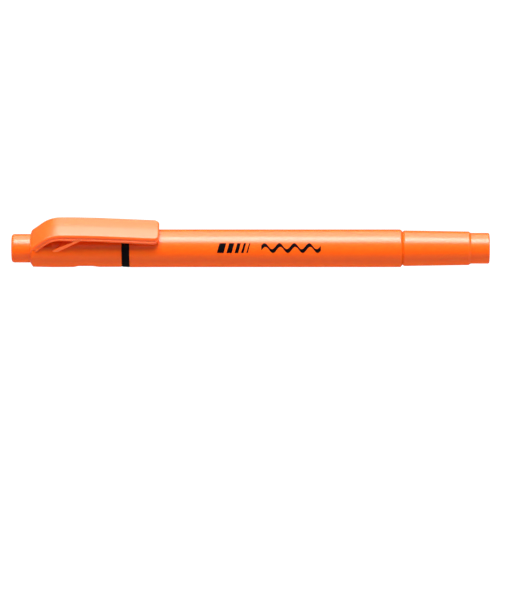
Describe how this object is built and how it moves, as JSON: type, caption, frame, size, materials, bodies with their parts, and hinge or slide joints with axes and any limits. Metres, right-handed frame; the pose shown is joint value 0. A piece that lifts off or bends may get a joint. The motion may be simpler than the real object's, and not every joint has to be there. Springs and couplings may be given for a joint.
{
  "type": "twin-tip highlighter",
  "caption": "Capped highlighter pen with a chisel nib at one end and a fine nib at the other, stepped caps and a wide moulded pocket clip.",
  "frame": {"origin": "on the pen's axis, at the middle of the barrel's straight grip", "axes": "+X along the axis towards the fine nib, -X towards the bold nib and the clip's root, +Z to the clip's side, +Y across the pen"},
  "size_m": [0.14, 0.0112, 0.015],
  "materials": {
    "orange_barrel": "opaque fluorescent orange polypropylene, semi-gloss",
    "orange_caps": "opaque fluorescent orange polypropylene, semi-gloss, fine satin grain on the clip",
    "black_plastic": "black polypropylene, semi-gloss",
    "white_plastic": "natural white polyethylene, waxy",
    "bold_felt": "bonded felt soaked in orange ink",
    "fine_fibre": "extruded porous nib soaked in orange ink",
    "ink_fibre": "bundled polyester fibre soaked in orange ink",
    "clear_film": "thin clear film"
  },
  "bodies": {
    "barrel": {"barrel": "orange_barrel", "bold_section": "black_plastic", "bold_nib": "bold_felt", "fine_section": "black_plastic", "fine_nib": "fine_fibre", "ink_reservoir": "ink_fibre", "reservoir_film": "clear_film"},
    "bold_inner_cap": {"bold_inner_cap": "white_plastic"},
    "bold_cap": {"bold_cap": "orange_caps"},
    "clip": {"clip_arm": "orange_caps"},
    "fine_inner_cap": {"fine_inner_cap": "white_plastic"},
    "fine_cap": {"fine_cap": "orange_caps"}
  },
  "joints": [
    {"name": "bold_cap_slide", "type": "slide", "parent": "barrel", "child": "bold_inner_cap", "axis": [-1, 0, 0], "range_m": [0, 0.04]},
    {"name": "bold_cap_turn", "type": "hinge", "parent": "bold_inner_cap", "child": "bold_cap", "pos_m": [-0.0421, 0, 0], "axis": [1, 0, 0], "continuous": true},
    {"name": "clip_flex", "type": "hinge", "parent": "bold_cap", "child": "clip", "pos_m": [-0.05325, 0, 0.00825], "axis": [0, -1, 0], "range_deg": [0, 6], "stiffness_Nm_per_rad": 0.03},
    {"name": "fine_cap_slide", "type": "slide", "parent": "barrel", "child": "fine_inner_cap", "axis": [1, 0, 0], "range_m": [0, 0.03]},
    {"name": "fine_cap_turn", "type": "hinge", "parent": "fine_inner_cap", "child": "fine_cap", "pos_m": [0.04015, 0, 0], "axis": [1, 0, 0], "continuous": true}
  ]
}
